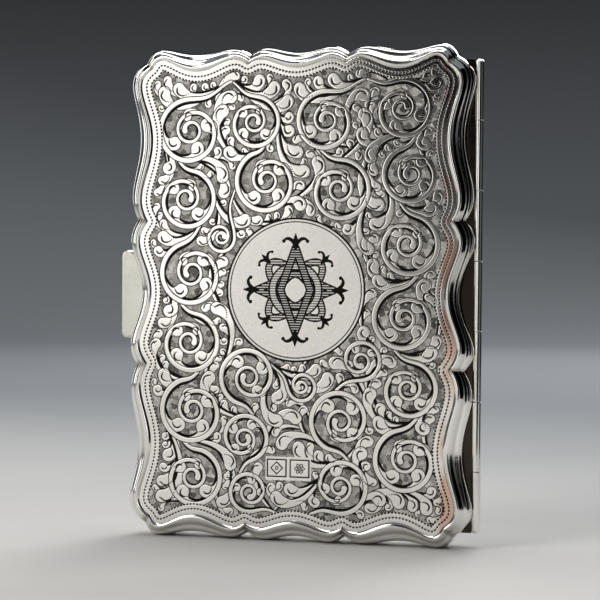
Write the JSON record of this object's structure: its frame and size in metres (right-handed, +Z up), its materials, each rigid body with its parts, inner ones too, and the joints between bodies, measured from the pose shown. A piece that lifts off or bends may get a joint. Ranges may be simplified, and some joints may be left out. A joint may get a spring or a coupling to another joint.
{
  "type": "hinged card case",
  "caption": "Hinged metal card case with a scalloped moulded edge, engraved scrollwork panels, a long side hinge, a thumb piece and a leather pocket divider.",
  "frame": {"origin": "centre of the back panel's outer face", "axes": "+X towards the hinge side, +Y out of the back panel, +Z up the long side; the case stands upright and closed"},
  "size_m": [0.0776, 0.0092, 0.1026],
  "materials": {
    "engraved_silver": "bright cut engraving on polished silver",
    "plain_silver": "polished",
    "gilt_silver": "polished gilding",
    "steel": "drawn and polished",
    "leather": "fine grain, waxed",
    "silk": "ribbed silk",
    "card": "pressed millboard"
  },
  "bodies": {
    "back_half": {"back_cover": "engraved_silver", "back_frame": "gilt_silver", "back_hinge_bearer": "plain_silver", "back_knuckles": "plain_silver", "hinge_pin": "steel", "back_board": "card", "back_lining": "leather", "top_back_gusset": "silk", "bottom_back_gusset": "silk", "spine_gusset": "silk", "catch_lug": "gilt_silver", "catch_rivet": "steel"},
    "front_half": {"front_cover": "engraved_silver", "front_frame": "gilt_silver", "front_hinge_bearer": "plain_silver", "front_knuckles": "plain_silver", "thumb_piece": "plain_silver", "front_board": "card", "front_lining": "leather", "top_front_gusset": "silk", "bottom_front_gusset": "silk", "catch_keeper": "gilt_silver"},
    "divider": {"divider_core": "card", "divider_back_leather": "leather", "divider_front_leather": "leather"},
    "catch_spring": {"catch_spring": "steel"}
  },
  "joints": [
    {"name": "case_hinge", "type": "hinge", "parent": "back_half", "child": "front_half", "pos_m": [0.0373, -0.0043, 0], "axis": [0, 0, 1], "range_deg": [0, 60], "deforming": ["top_back_gusset", "bottom_back_gusset", "spine_gusset", "top_front_gusset", "bottom_front_gusset"]},
    {"name": "divider_hinge", "type": "hinge", "parent": "back_half", "child": "divider", "pos_m": [0.0373, -0.0043, 0], "axis": [0, 0, 1], "range_deg": [0, 30]},
    {"name": "catch_flex", "type": "hinge", "parent": "back_half", "child": "catch_spring", "pos_m": [-0.03205, -0.00505, -0.007], "axis": [0, 1, 0], "range_deg": [0, 1.2], "stiffness_Nm_per_rad": 0.002}
  ],
  "couplings": [
    {"joint": "divider_hinge", "follows": "case_hinge", "ratio": 0.5}
  ]
}
